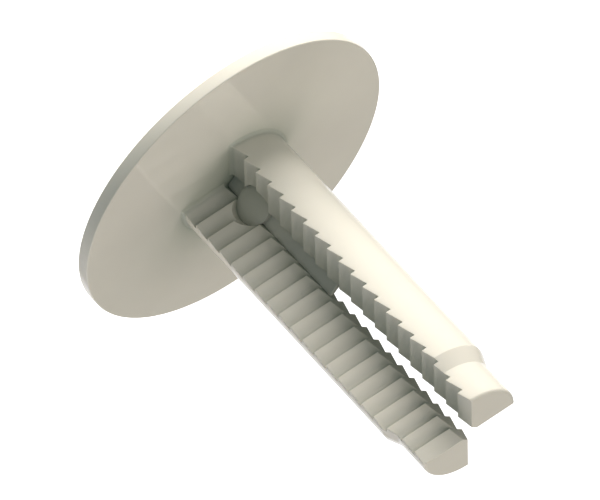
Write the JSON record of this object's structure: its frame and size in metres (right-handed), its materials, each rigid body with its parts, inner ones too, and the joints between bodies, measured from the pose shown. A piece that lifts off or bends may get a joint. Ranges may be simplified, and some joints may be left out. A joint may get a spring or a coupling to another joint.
{
  "type": "wall anchor",
  "caption": "Two-legged push-in plastic anchor with a wide thin round head, serrated quarter-round legs and a slit that lets the legs squeeze together.",
  "frame": {"origin": "centre of the head's flat outer face; the part stands on its head", "axes": "+Z from the head towards the tips of the legs; +X towards leg A, square to the slit; +Y towards the notch with the ejector pad"},
  "size_m": [0.03, 0.03, 0.0323],
  "materials": {
    "natural_nylon": "satin moulded nylon in its natural ivory colour, with smooth faces"
  },
  "bodies": {
    "root": {"head_flange": "natural_nylon", "head_core": "natural_nylon", "web": "natural_nylon", "leg_a_root": "natural_nylon", "leg_b_root": "natural_nylon"},
    "leg_a": {"leg_a_arm": "natural_nylon", "leg_a_nose": "natural_nylon"},
    "leg_b": {"leg_b_arm": "natural_nylon", "leg_b_nose": "natural_nylon"}
  },
  "joints": [
    {"name": "leg_a_flex", "type": "hinge", "parent": "root", "child": "leg_a", "pos_m": [0.00293, 0, 0.01734], "axis": [0, -1, 0], "range_deg": [-3, 2.4], "stiffness_Nm_per_rad": 5.6},
    {"name": "leg_b_flex", "type": "hinge", "parent": "root", "child": "leg_b", "pos_m": [-0.00293, 0, 0.01734], "axis": [0, 1, 0], "range_deg": [-3, 2.4], "stiffness_Nm_per_rad": 5.6}
  ]
}
